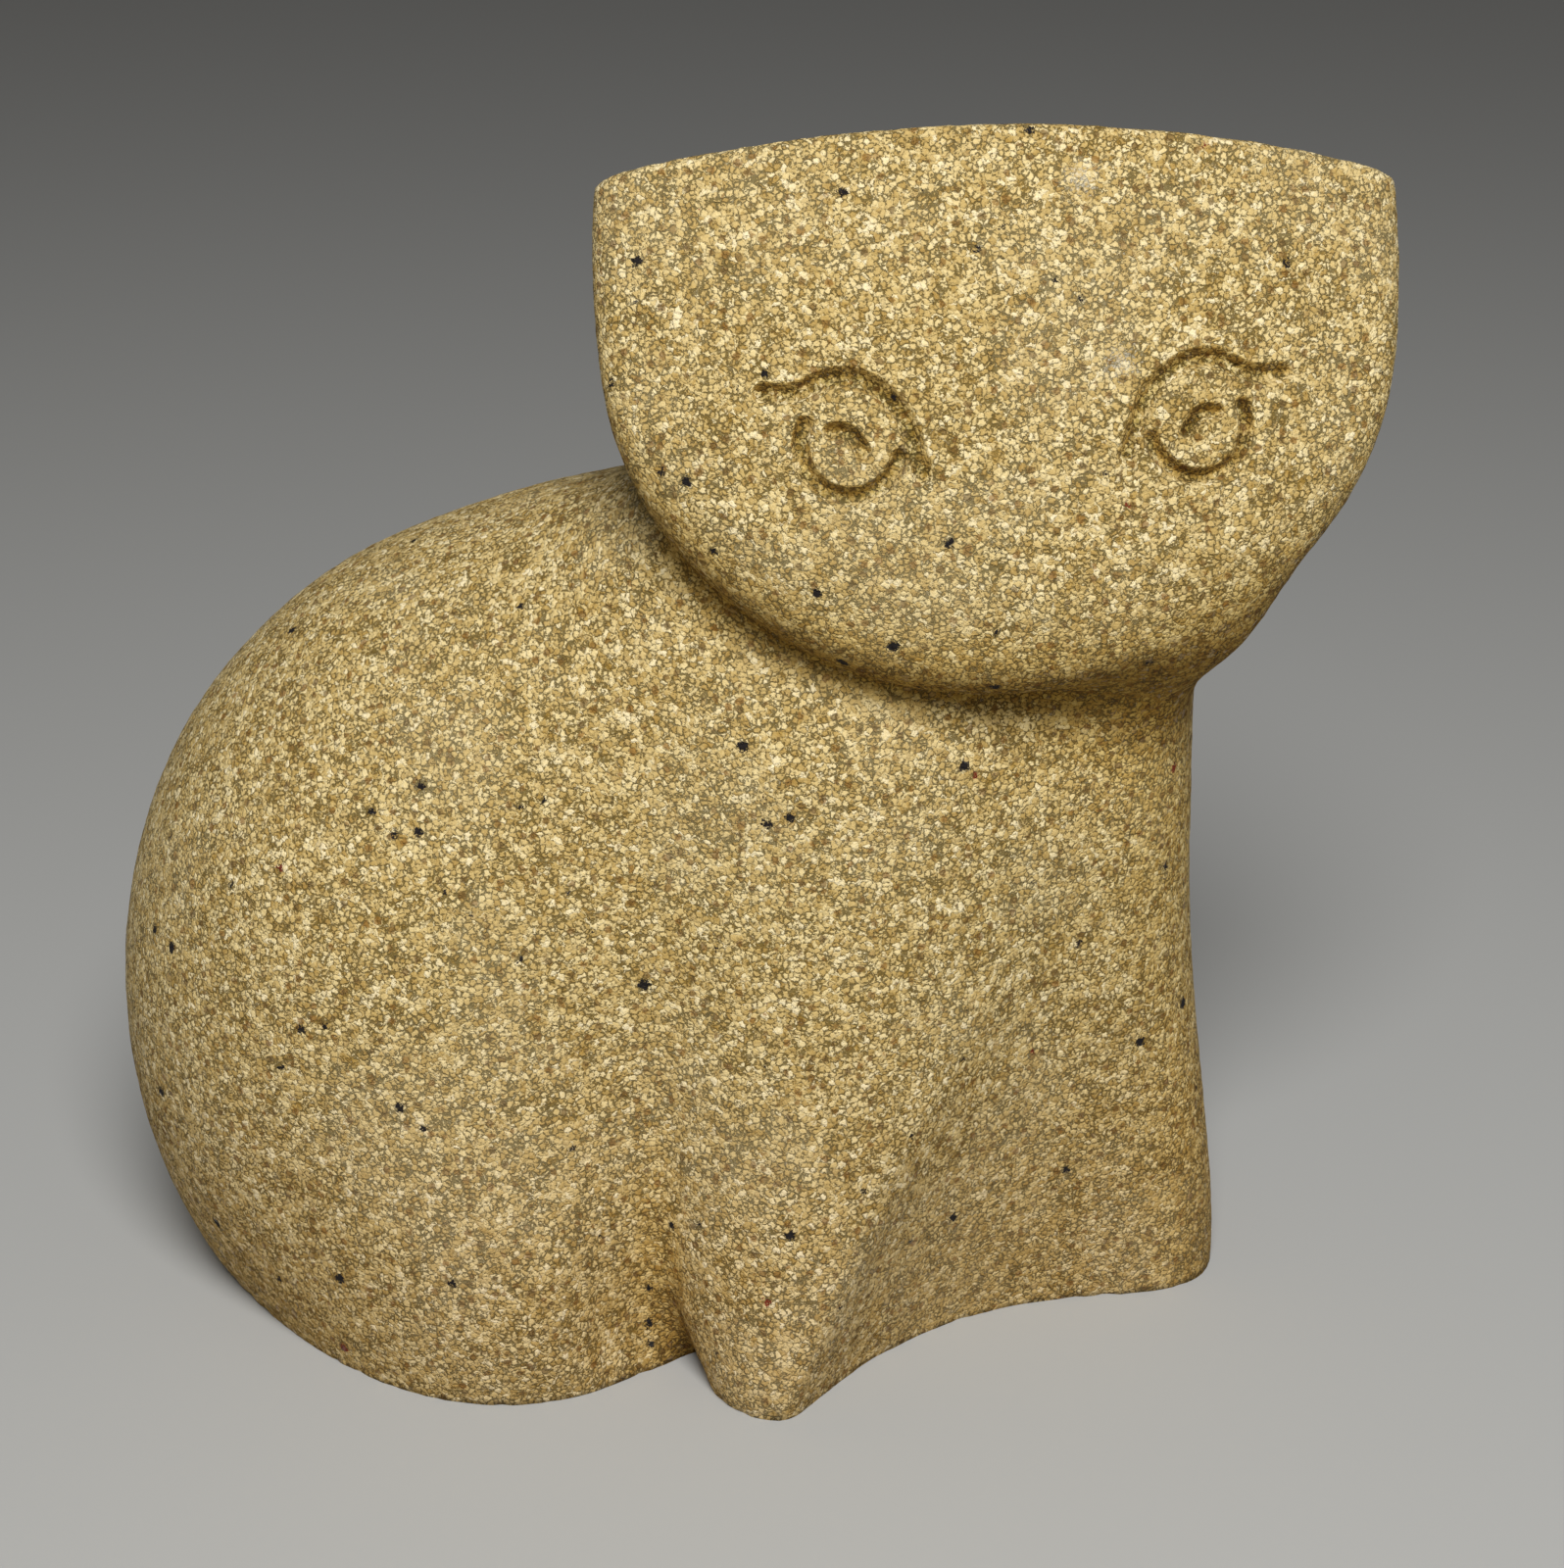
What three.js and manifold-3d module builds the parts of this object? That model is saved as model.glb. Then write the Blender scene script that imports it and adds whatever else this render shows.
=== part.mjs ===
// A seated cat cast in one piece of sandstone: a broad flat-crowned head, two engraved eyes, a round
// haunch and two short front legs. Millimetres, Z up, the face towards -Y.
import * as THREE from "three";
import Module from "manifold-3d";
import { mergeVertices } from "three/addons/utils/BufferGeometryUtils.js";

const wasm = await Module();
wasm.setup();

// Head: a thick shield with bowed front and back, tipped back to look a little upwards
const headCentre = new THREE.Vector3(23.3, 28, 129.5);
const headTurnDegrees = 2;
const headTiltDegrees = 23;
const headHalfWidth = 44.2;
const headSideDrop = 57.2;
const headSquareness = 2.22;
const crownRadius = 230;
const crownHeight = 13.2;
const faceRadius = 140;
const faceDepth = 11;
const napeRadius = 120;
const napeDepth = 20;
const crownEdge = 1.2;
const faceEdge = 4;
const chinEdge = 24;
const chinEdgeStart = 12;
const chinEdgeReach = 54;
const napeEdge = 14;

// Torso: haunch and shoulder joined by a taper, taller than it is wide, with the withers filling the back
const haunchCentre = new THREE.Vector3(-40.9, 45, 34.7);
const haunchRadius = 40.8;
const shoulderCentre = new THREE.Vector3(2.4, 49, 40.9);
const shoulderRadius = 32.4;
const torsoTallness = 1.35;
const torsoSlimness = 0.926;
const withersCentre = new THREE.Vector3(-25.4, 48.9, 69.5);
const withersRadius = 19.1;
const hindFootCentre = new THREE.Vector3(-32.2, 25.7, 6);
const hindFootRadii = new THREE.Vector3(21, 22.5, 30);

// Hollow in the haunch beside the near foreleg, deepest at the ground
const hollowFoot = new THREE.Vector3(-14.5, 4.4, 8);
const hollowTop = new THREE.Vector3(-18, 1.5, 38);
const hollowFootRadius = 5.5;
const hollowTopRadius = 1;

// Chest and far foreleg: one upright column, square at the foot and rounder at the chest
const chestMiddleX = 16;
const chestBackY = 66;
const chestFootRight = 55.1;
const chestWaistRight = 48.7;
const chestNeckRight = 48.8;
const chestFootFront = 26.8;
const chestTopFront = 19.6;
const chestWallLean = 0.11;
const chestWallEdge = 2;
const chestWaistHeight = 55;
const chestTopHeight = 100;
const chestRoundHeight = 60;
const chestFootSquareness = 4.5;
const chestTopSquareness = 3.2;
const napeCutHeight = 108;
const napeCutY = 40;
const napeCutSlope = 0.8;
const napeCutBlend = 20;

// Near foreleg: a taper from the paw into the chest, with a flat inner flank that leaves a ridge
const pawCentre = new THREE.Vector3(0.2, 8.7, 3);
const pawRadius = 9.3;
const nearChestCentre = new THREE.Vector3(4.3, 56, 63);
const nearChestRadius = 44.5;
const nearLegBack = 46;
const ridgeFoot = new THREE.Vector3(9.4, 7.9, 10);
const ridgeTop = new THREE.Vector3(27.7, 17.5, 53.4);
const flankTurnDegrees = 36;
const ridgeFadeStartZ = 32;
const ridgeFadeEndZ = 60;
const legBackRun = 60;

// Width of the soft joins between neighbouring forms
const withersBlend = 24;
const hindFootBlend = 16;
const hollowBlend = 7;
const chestBlend = 22;
const legBackBlend = 16;
const ridgeBlend = 1.2;
const haunchCreaseBlend = 2.4;
const flankFootBlend = 14;
const flankTopBlend = 4;
const flankBlendStartZ = -10;
const flankBlendEndZ = 70;
const flankBlendEndX = 12;
const chinCreaseBlend = 2.5;
const neckBlend = 20;
const napeBlend = 14;
const napeBlendStartY = 36;
const napeBlendEndY = 52;
const neckBlendStartX = 22;
const neckBlendEndX = 60;
const neckBlendStartZ = 84;
const neckBlendEndZ = 114;

// Eyes, in the plane of the face, measured from the middle of the head
const eyeMiddle = 1.9;
const eyeSpacing = 37;
const eyeDrop = 19.8;
const eyeLineRise = 1.8;
const eyeRingRadius = 5.3;
const eyeReach = 3;
const ringStartDegrees = 155;
const ringEndDegrees = 345;
const ringGrooveWidth = 2;
const lidGrooveWidth = 2.5;
const pupilGrooveWidth = 2.2;
const grooveDepth = 1;

// Mesh fineness
const rootDepth = 6;
const groundWidth = 400;
const groundThickness = 100;
const groundClearance = 0.6;
const cell = 4.6;
const tolerance = 0.25;
const shortestEdge = 1.8;
const grooveEdge = 1.05;
const refineRounds = 4;

const sandstone = new THREE.MeshStandardMaterial({ color: 0xc9ab76, roughness: 0.95, metalness: 0 });

const softMin = (a, b, width) => {
  const h = Math.max(width - Math.abs(a - b), 0) / width;
  return Math.min(a, b) - (h * h * width) / 4;
};

const softMax = (a, b, width) => -softMin(-a, -b, width);

const ease = (value, start, end) => {
  const s = THREE.MathUtils.clamp((value - start) / (end - start), 0, 1);
  return s * s * (3 - 2 * s);
};

const mix = (a, b, share) => a + (b - a) * share;

// Distance to two balls and the taper that joins them
function taper(point, a, b, radiusA, radiusB) {
  const axis = new THREE.Vector3().subVectors(b, a);
  const length = axis.length();
  axis.divideScalar(length);
  const offset = new THREE.Vector3().subVectors(point, a);
  const along = offset.dot(axis);
  const across = Math.sqrt(Math.max(offset.lengthSq() - along * along, 0));
  const lean = (radiusA - radiusB) / length;
  const rise = Math.sqrt(1 - lean * lean);
  const foot = along * rise - across * lean;
  if (foot < 0) {
    return offset.length() - radiusA;
  }
  if (foot > length * rise) {
    return point.distanceTo(b) - radiusB;
  }
  return across * rise + along * lean - radiusA;
}

function egg(point, centre, radii) {
  const q = new THREE.Vector3().subVectors(point, centre).divide(radii);
  const size = q.length();
  const slope = q.divide(radii).length();
  return (size * (size - 1)) / Math.max(slope, 1e-6);
}

// Engraved lines of one eye, outwards and upwards from its middle in shares of the ring's radius
const flatCurve = (shares) => {
  const points = shares.map(([out, up]) => new THREE.Vector2(out, up).multiplyScalar(eyeRingRadius));
  return new THREE.SplineCurve(points).getSpacedPoints(24);
};
const ringLine = new THREE.EllipseCurve(
  0,
  0,
  eyeRingRadius,
  eyeRingRadius,
  THREE.MathUtils.degToRad(180 - ringStartDegrees),
  THREE.MathUtils.degToRad(180 - ringEndDegrees),
  true,
).getSpacedPoints(24);
const lidOuterEnd = [1.74, 1.08];
const lidTop = [[1.09, 1.06], [0.42, 1.32], [-0.26, 1.26]];
const lidInnerEnd = [[-0.94, 0.74], [-1.23, 0.11], [-1.43, -0.58]];
const lidLine = flatCurve([lidOuterEnd, ...lidTop, ...lidInnerEnd]);
const pupilLine = flatCurve([[0.38, 0.28], [0.04, 0.25], [-0.23, -0.11]]);
const eyeGrooves = [
  { line: ringLine, width: ringGrooveWidth },
  { line: lidLine, width: lidGrooveWidth },
  { line: pupilLine, width: pupilGrooveWidth },
];

function distanceToLine(line, point) {
  let nearest = Infinity;
  for (let i = 1; i < line.length; i += 1) {
    const step = new THREE.Vector2().subVectors(line[i], line[i - 1]);
    const offset = new THREE.Vector2().subVectors(point, line[i - 1]);
    const share = THREE.MathUtils.clamp(offset.dot(step) / step.lengthSq(), 0, 1);
    nearest = Math.min(nearest, offset.addScaledVector(step, -share).length());
  }
  return nearest;
}

// The nearest engraved line: how far past its edge the place is, and its share of the half width
function nearestGroove(u, v) {
  let nearest = { past: Infinity, share: Infinity };
  for (const side of [-1, 1]) {
    const out = side * (u - eyeMiddle) - eyeSpacing / 2;
    const up = v + eyeDrop - (side * eyeLineRise) / 2;
    if (Math.hypot(out, up) > eyeRingRadius * eyeReach) {
      continue;
    }
    for (const { line, width } of eyeGrooves) {
      const distance = distanceToLine(line, new THREE.Vector2(out, up));
      if (distance - width / 2 < nearest.past) {
        nearest = { past: distance - width / 2, share: distance / (width / 2) };
      }
    }
  }
  return nearest;
}

function grooveAt(u, v) {
  const { share } = nearestGroove(u, v);
  return share < 1 ? grooveDepth * (1 - share * share) ** 1.5 : 0;
}

// Axes of the head: across the face, up the face and out of the face
const turn = THREE.MathUtils.degToRad(headTurnDegrees);
const tilt = THREE.MathUtils.degToRad(headTiltDegrees);
const outOfFace = new THREE.Vector3(
  Math.sin(turn) * Math.cos(tilt),
  -Math.cos(turn) * Math.cos(tilt),
  Math.sin(tilt),
);
const acrossFace = new THREE.Vector3(Math.cos(turn), Math.sin(turn), 0);
const upFace = new THREE.Vector3().crossVectors(outOfFace, acrossFace);

// Place of a point on the head: u across the face, v up it and w out of it
function onHead(point) {
  const offset = new THREE.Vector3().subVectors(point, headCentre);
  return { u: offset.dot(acrossFace), v: offset.dot(upFace), w: offset.dot(outOfFace) };
}

function head(point) {
  const { u, v, w } = onHead(point);
  const n = headSquareness;
  const outline = (Math.abs(u) ** n + Math.abs((v * headHalfWidth) / headSideDrop) ** n) ** (1 / n);
  const sides = outline - headHalfWidth;
  const face = Math.hypot(u, v, w + faceRadius - faceDepth) - faceRadius + grooveAt(u, v);
  const nape = Math.hypot(u, v, w - napeRadius + napeDepth) - napeRadius;
  const crown = Math.hypot(u, v + crownRadius - crownHeight) - crownRadius;
  const edge = mix(faceEdge, chinEdge, ease(-v, chinEdgeStart, chinEdgeReach));
  const shield = softMax(softMax(sides, face, edge), nape, napeEdge);
  return softMax(shield, crown, crownEdge);
}

const torsoScale = new THREE.Vector3(1, 1 / torsoSlimness, 1 / torsoTallness);
const haunchScaled = haunchCentre.clone().multiply(torsoScale);
const shoulderScaled = shoulderCentre.clone().multiply(torsoScale);

function torso(point) {
  const scaled = point.clone().multiply(torsoScale);
  const egglike = taper(scaled, haunchScaled, shoulderScaled, haunchRadius, shoulderRadius) * torsoSlimness;
  const back = softMin(egglike, point.distanceTo(withersCentre) - withersRadius, withersBlend);
  const haunch = softMin(back, egg(point, hindFootCentre, hindFootRadii), hindFootBlend);
  const hollow = taper(point, hollowFoot, hollowTop, hollowFootRadius, hollowTopRadius);
  return softMax(haunch, -hollow, hollowBlend);
}

function chest(point) {
  const waist = ease(point.z, 0, chestWaistHeight);
  const neck = ease(point.z, 0, chestTopHeight);
  const right = mix(chestFootRight, chestWaistRight, waist) + (chestNeckRight - chestWaistRight) * neck;
  const front = softMax(chestFootFront - chestWallLean * point.z, chestTopFront, chestWallEdge);
  const n = mix(chestFootSquareness, chestTopSquareness, ease(point.z, 0, chestRoundHeight));
  const halfWidth = right - chestMiddleX;
  const halfDepth = (chestBackY - front) / 2;
  const x = Math.abs(point.x - chestMiddleX) / halfWidth;
  const y = Math.abs(point.y - (chestBackY + front) / 2) / halfDepth;
  const wall = ((x ** n + y ** n) ** (1 / n) - 1) * Math.min(halfWidth, halfDepth);
  const cut = point.z + napeCutSlope * (point.y - napeCutY) - napeCutHeight;
  return softMax(wall, cut / Math.hypot(1, napeCutSlope), napeCutBlend);
}

const flankTurn = THREE.MathUtils.degToRad(flankTurnDegrees);
const flankNormal = new THREE.Vector3(Math.sin(flankTurn), Math.cos(flankTurn), 0)
  .cross(new THREE.Vector3().subVectors(ridgeTop, ridgeFoot))
  .normalize();

// The leg runs on to the right of its ridge, so that the flank alone shapes its inner side
function nearLeg(point) {
  const up = (point.z - ridgeFoot.z) / (ridgeTop.z - ridgeFoot.z);
  const left = point.clone();
  const rest = legBackRun * ease(point.z, ridgeFadeStartZ, ridgeFadeEndZ);
  left.x = Math.min(point.x, mix(ridgeFoot.x, ridgeTop.x, up) + rest);
  const leg = taper(left, pawCentre, nearChestCentre, pawRadius, nearChestRadius);
  const flank = new THREE.Vector3().subVectors(point, ridgeFoot).dot(flankNormal);
  return softMax(softMax(leg, point.y - nearLegBack, legBackBlend), flank, ridgeBlend);
}

function cat(point) {
  const flankBlend = mix(flankFootBlend, flankTopBlend, ease(point.z, flankBlendStartZ, flankBlendEndZ));
  const crease = mix(haunchCreaseBlend, flankBlend, THREE.MathUtils.clamp(point.x / flankBlendEndX, 0, 1));
  const body = softMin(softMin(torso(point), chest(point), chestBlend), nearLeg(point), crease);
  const below = 1 - ease(point.z, neckBlendStartZ, neckBlendEndZ);
  const neck = ease(point.x, neckBlendStartX, neckBlendEndX) * below;
  const behind = ease(point.y, napeBlendStartY, napeBlendEndY);
  const join = mix(mix(chinCreaseBlend, neckBlend, neck), napeBlend, behind);
  return softMin(body, head(point), join);
}

function gradient(form, point) {
  const step = 0.05;
  const q = point.clone();
  const slope = (key) => {
    q[key] += step;
    const ahead = form(q);
    q[key] -= 2 * step;
    const behind = form(q);
    q[key] += step;
    return (ahead - behind) / (2 * step);
  };
  return new THREE.Vector3(slope("x"), slope("y"), slope("z"));
}

function pullToSurface(form, point, rounds = 4) {
  for (let i = 0; i < rounds; i += 1) {
    const slope = gradient(form, point);
    const move = THREE.MathUtils.clamp(form(point) / Math.max(slope.lengthSq(), 0.05), -2, 2);
    point.addScaledVector(slope, -move);
  }
  return point;
}

// Net of cells through which the surface passes: one vertex in each, one quad for each crossed edge
function surfaceNet(form, low, high) {
  const counts = ["x", "y", "z"].map((key) => Math.ceil((high[key] - low[key]) / cell) + 1);
  const [nx, ny, nz] = counts;
  const index = (i, j, k) => i + nx * (j + ny * k);
  const corner = (i, j, k) => new THREE.Vector3(low.x + i * cell, low.y + j * cell, low.z + k * cell);
  const value = new Float64Array(nx * ny * nz);
  for (let k = 0; k < nz; k += 1) {
    for (let j = 0; j < ny; j += 1) {
      for (let i = 0; i < nx; i += 1) {
        value[index(i, j, k)] = form(corner(i, j, k));
      }
    }
  }
  const vertices = [];
  const vertexOf = new Map();
  const steps = [[1, 0, 0], [0, 1, 0], [0, 0, 1]];
  const place = (i, j, k) => {
    const key = index(i, j, k);
    if (!vertexOf.has(key)) {
      const sum = new THREE.Vector3();
      let crossings = 0;
      for (const [axis, step] of steps.entries()) {
        const others = steps.filter((_, other) => other !== axis);
        for (const [a, b] of [[0, 0], [1, 0], [0, 1], [1, 1]]) {
          const from = [0, 1, 2].map((d) => [i, j, k][d] + a * others[0][d] + b * others[1][d]);
          const to = from.map((at, d) => at + step[d]);
          const start = value[index(...from)];
          const end = value[index(...to)];
          if (start < 0 !== end < 0) {
            sum.add(corner(...from).lerp(corner(...to), start / (start - end)));
            crossings += 1;
          }
        }
      }
      vertexOf.set(key, vertices.length);
      vertices.push(sum.divideScalar(crossings));
    }
    return vertexOf.get(key);
  };
  const triangles = [];
  for (let k = 1; k < nz - 1; k += 1) {
    for (let j = 1; j < ny - 1; j += 1) {
      for (let i = 1; i < nx - 1; i += 1) {
        for (const [axis, step] of steps.entries()) {
          const start = value[index(i, j, k)];
          const end = value[index(i + step[0], j + step[1], k + step[2])];
          if (start < 0 !== end < 0) {
            const p = steps[(axis + 1) % 3];
            const q = steps[(axis + 2) % 3];
            const quad = [[0, 0], [1, 0], [1, 1], [0, 1]].map(([a, b]) =>
              place(i - a * p[0] - b * q[0], j - a * p[1] - b * q[1], k - a * p[2] - b * q[2]));
            triangles.push(...splitQuad(vertices, start < 0 ? quad : quad.reverse()));
          }
        }
      }
    }
  }
  return { vertices, triangles };
}

function splitQuad(vertices, [a, b, c, d]) {
  const firstDiagonal = vertices[a].distanceTo(vertices[c]);
  if (firstDiagonal < vertices[b].distanceTo(vertices[d])) {
    return [[a, b, c], [a, c, d]];
  }
  return [[a, b, d], [b, c, d]];
}

// Each vertex moves to the middle of its neighbours and back on to the surface
function relax(form, { vertices, triangles }) {
  const sums = vertices.map(() => new THREE.Vector3());
  const counts = vertices.map(() => 0);
  for (const [a, b, c] of triangles) {
    for (const [from, to] of [[a, b], [b, c], [c, a]]) {
      sums[from].add(vertices[to]);
      counts[from] += 1;
    }
  }
  vertices.forEach((vertex, i) => {
    vertex.lerp(sums[i].divideScalar(counts[i]), 0.6);
    pullToSurface(form, vertex);
  });
}

// True where an edge of this length may cross an engraved line
function crossesGroove(middle, length) {
  const { u, v, w } = onHead(middle);
  return w > 0 && nearestGroove(u, v).past < length / 2;
}

// Edges whose middle lies off the surface are halved, so fine triangles come only where it bends
function refine(form, { vertices, triangles }) {
  const middles = new Map();
  const edgeName = (a, b) => (a < b ? `${a} ${b}` : `${b} ${a}`);
  for (const triangle of triangles) {
    triangle.forEach((a, corner) => {
      const b = triangle[(corner + 1) % 3];
      const name = edgeName(a, b);
      if (!middles.has(name)) {
        const middle = new THREE.Vector3().addVectors(vertices[a], vertices[b]).divideScalar(2);
        const onSurface = pullToSurface(form, middle.clone());
        const length = vertices[a].distanceTo(vertices[b]);
        const bent = length > shortestEdge && onSurface.distanceTo(middle) > tolerance;
        const split = bent || (length > grooveEdge && crossesGroove(middle, length));
        middles.set(name, split ? vertices.push(onSurface) - 1 : -1);
      }
    });
  }
  const finer = [];
  for (const [a, b, c] of triangles) {
    const ab = middles.get(edgeName(a, b));
    const bc = middles.get(edgeName(b, c));
    const ca = middles.get(edgeName(c, a));
    finer.push(...splitTriangle(vertices, [a, b, c], [ab, bc, ca]));
  }
  return { vertices, triangles: finer };
}

function splitTriangle(vertices, corners, middles) {
  const count = middles.filter((middle) => middle >= 0).length;
  if (count === 0) {
    return [corners];
  }
  // Turned so that the first edge is split, and with two splits the last is the whole one
  let [a, b, c] = corners;
  let [ab, bc, ca] = middles;
  while (ab < 0 || (count === 2 && ca >= 0)) {
    [a, b, c] = [b, c, a];
    [ab, bc, ca] = [bc, ca, ab];
  }
  if (count === 1) {
    return [[a, ab, c], [ab, b, c]];
  }
  if (count === 2) {
    return [[ab, b, bc], ...splitQuad(vertices, [a, ab, bc, c])];
  }
  return [[a, ab, ca], [ab, b, bc], [bc, c, ca], [ab, bc, ca]];
}

function toGeometry({ vertices, triangles }) {
  const geometry = new THREE.BufferGeometry();
  const numbers = vertices.flatMap((vertex) => vertex.toArray());
  geometry.setAttribute("position", new THREE.Float32BufferAttribute(numbers, 3));
  geometry.setIndex(triangles.flat());
  return geometry;
}

function toSolid(geometry) {
  const bare = geometry.clone();
  bare.deleteAttribute("normal");
  bare.deleteAttribute("uv");
  const merged = mergeVertices(bare, 1e-4);
  return new wasm.Manifold(new wasm.Mesh({
    numProp: 3,
    vertProperties: new Float32Array(merged.attributes.position.array),
    triVerts: new Uint32Array(merged.index.array),
  }));
}

function fromSolid(solid) {
  const mesh = solid.getMesh();
  const geometry = new THREE.BufferGeometry();
  geometry.setAttribute("position", new THREE.BufferAttribute(mesh.vertProperties.slice(), 3));
  geometry.setIndex(new THREE.BufferAttribute(mesh.triVerts.slice(), 1));
  return geometry;
}

// The forms run on below the ground, where the cast is cut flat
const catAndRoot = (point) => Math.max(cat(point), -rootDepth - point.z);

// Box round all the forms, with room for a layer of empty cells
function reach() {
  const balls = [
    [headCentre, Math.hypot(headHalfWidth, napeDepth)],
    [haunchCentre, haunchRadius * torsoTallness],
    [shoulderCentre, shoulderRadius * torsoTallness],
    [withersCentre, withersRadius],
    [hindFootCentre, Math.max(...hindFootRadii)],
    [pawCentre, pawRadius],
    [nearChestCentre, nearChestRadius],
    [new THREE.Vector3(chestFootRight, chestBackY, 0), 0],
  ];
  const box = new THREE.Box3();
  balls.forEach(([centre, radius]) => {
    box.union(new THREE.Sphere(centre, radius).getBoundingBox(new THREE.Box3()));
  });
  box.min.z = -rootDepth;
  return box.expandByScalar(2 * cell);
}

// Vertices just above or below the ground are moved away from it, so that the cut leaves no slivers
function clearOfGround(form, vertices) {
  for (const vertex of vertices) {
    if (Math.abs(vertex.z) < groundClearance) {
      vertex.z = vertex.z < 0 ? -groundClearance : groundClearance;
      const slope = gradient(form, vertex).setZ(0);
      vertex.addScaledVector(slope, -form(vertex) / Math.max(slope.lengthSq(), 0.2));
    }
  }
}

function figurine() {
  const room = reach();
  let net = surfaceNet(catAndRoot, room.min, room.max);
  net.vertices.forEach((vertex) => pullToSurface(catAndRoot, vertex));
  relax(catAndRoot, net);
  relax(catAndRoot, net);
  for (let i = 0; i < refineRounds; i += 1) {
    net = refine(catAndRoot, net);
  }
  clearOfGround(cat, net.vertices);
  const ground = new THREE.BoxGeometry(groundWidth, groundWidth, groundThickness);
  ground.translate(0, 0, -groundThickness / 2);
  const geometry = fromSolid(toSolid(toGeometry(net)).subtract(toSolid(ground)));
  geometry.computeBoundingBox();
  const middle = geometry.boundingBox.getCenter(new THREE.Vector3());
  geometry.translate(-middle.x, -middle.y, 0);
  return geometry;
}

const group = new THREE.Group();
const mesh = new THREE.Mesh(figurine(), sandstone);
mesh.name = "cat_figurine";
group.add(mesh);

export default group;
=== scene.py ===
"""Looks of the seated sandstone cat: the cast form as a fine mesh with engraved eyes, a rough cast skin
and a grainy stone finish, on a pale floor. The form is worked out in millimetres and built in metres."""
import math

import bmesh
import bpy
import numpy as np
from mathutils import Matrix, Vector, noise


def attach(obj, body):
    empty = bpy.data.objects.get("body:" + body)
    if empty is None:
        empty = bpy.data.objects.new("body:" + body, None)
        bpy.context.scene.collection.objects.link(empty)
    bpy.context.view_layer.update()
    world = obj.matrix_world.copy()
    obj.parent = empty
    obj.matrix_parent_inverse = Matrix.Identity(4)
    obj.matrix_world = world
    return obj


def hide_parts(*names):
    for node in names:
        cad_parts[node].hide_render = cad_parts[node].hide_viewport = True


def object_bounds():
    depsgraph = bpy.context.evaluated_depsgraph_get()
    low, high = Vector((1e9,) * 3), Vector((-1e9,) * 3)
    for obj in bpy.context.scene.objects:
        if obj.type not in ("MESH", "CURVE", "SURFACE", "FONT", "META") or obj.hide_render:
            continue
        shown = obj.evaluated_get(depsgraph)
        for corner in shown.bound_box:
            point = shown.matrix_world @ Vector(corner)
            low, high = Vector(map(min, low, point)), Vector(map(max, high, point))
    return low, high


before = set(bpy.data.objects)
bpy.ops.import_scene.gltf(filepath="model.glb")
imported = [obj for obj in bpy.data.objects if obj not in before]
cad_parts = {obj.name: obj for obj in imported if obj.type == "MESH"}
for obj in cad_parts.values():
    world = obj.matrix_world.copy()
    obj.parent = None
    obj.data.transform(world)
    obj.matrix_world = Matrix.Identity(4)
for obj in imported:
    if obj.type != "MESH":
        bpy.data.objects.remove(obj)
cad_low, cad_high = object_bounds()

# Head: a thick shield with bowed front and back, tipped back to look a little upwards
HEAD_CENTRE = np.array([23.3, 28.0, 129.5])
HEAD_TURN = math.radians(2)
HEAD_TILT = math.radians(23)
HEAD_HALF_WIDTH = 44.2
HEAD_SIDE_DROP = 57.2
HEAD_SQUARENESS = 2.22
CROWN_RADIUS = 230.0
CROWN_HEIGHT = 13.2
FACE_RADIUS = 140.0
FACE_DEPTH = 11.0
NAPE_RADIUS = 120.0
NAPE_DEPTH = 20.0
CROWN_EDGE = 1.2
FACE_EDGE = 4.0
CHIN_EDGE = 24.0
CHIN_EDGE_DOWN = (12.0, 54.0)
NAPE_EDGE = 14.0

# Torso: haunch and shoulder joined by a taper, with the hind foot in front of it
HAUNCH = np.array([-40.9, 45.0, 34.7])
HAUNCH_RADIUS = 40.8
SHOULDER = np.array([2.4, 49.0, 40.9])
SHOULDER_RADIUS = 32.4
TORSO_TALLNESS = 1.35
TORSO_SLIMNESS = 0.926
HIND_FOOT = np.array([-32.2, 25.7, 6.0])
HIND_FOOT_RADII = np.array([21.0, 22.5, 30.0])
WITHERS = np.array([-25.4, 48.9, 69.5])
WITHERS_RADIUS = 19.1

# Hollow in the haunch beside the near foreleg, deepest at the ground
HOLLOW_FOOT = np.array([-14.5, 4.4, 8.0])
HOLLOW_TOP = np.array([-18.0, 1.5, 38.0])
HOLLOW_RADII = (5.5, 1.0)

# Chest and far foreleg: one upright column, square at the foot and rounder at the chest
CHEST_MIDDLE_X = 16.0
CHEST_BACK_Y = 66.0
CHEST_RIGHT = {"foot": 55.1, "waist": 48.7, "neck": 48.8}
CHEST_FRONT = {"foot": 26.8, "top": 19.6}
CHEST_WAIST_HEIGHT = 55.0
CHEST_TOP_HEIGHT = 100.0
CHEST_ROUND_HEIGHT = 60.0
CHEST_SQUARENESS = {"foot": 4.5, "top": 3.2}
WALL_LEAN = 0.11
WALL_EDGE = 2.0
NAPE_CUT_HEIGHT = 108.0
NAPE_CUT_Y = 40.0
NAPE_CUT_SLOPE = 0.8
NAPE_CUT_BLEND = 20.0

# Near foreleg: a taper from the paw into the chest, with a flat inner flank that leaves a ridge
PAW = np.array([0.2, 8.7, 3.0])
PAW_RADIUS = 9.3
NEAR_CHEST = np.array([4.3, 56.0, 63.0])
NEAR_CHEST_RADIUS = 44.5
NEAR_LEG_BACK = 46.0
RIDGE_FOOT = np.array([9.4, 7.9, 10.0])
RIDGE_TOP = np.array([27.7, 17.5, 53.4])
FLANK_TURN = math.radians(36)
RIDGE_FADE_UP = (32.0, 60.0)
LEG_BACK_RUN = 60.0

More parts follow.
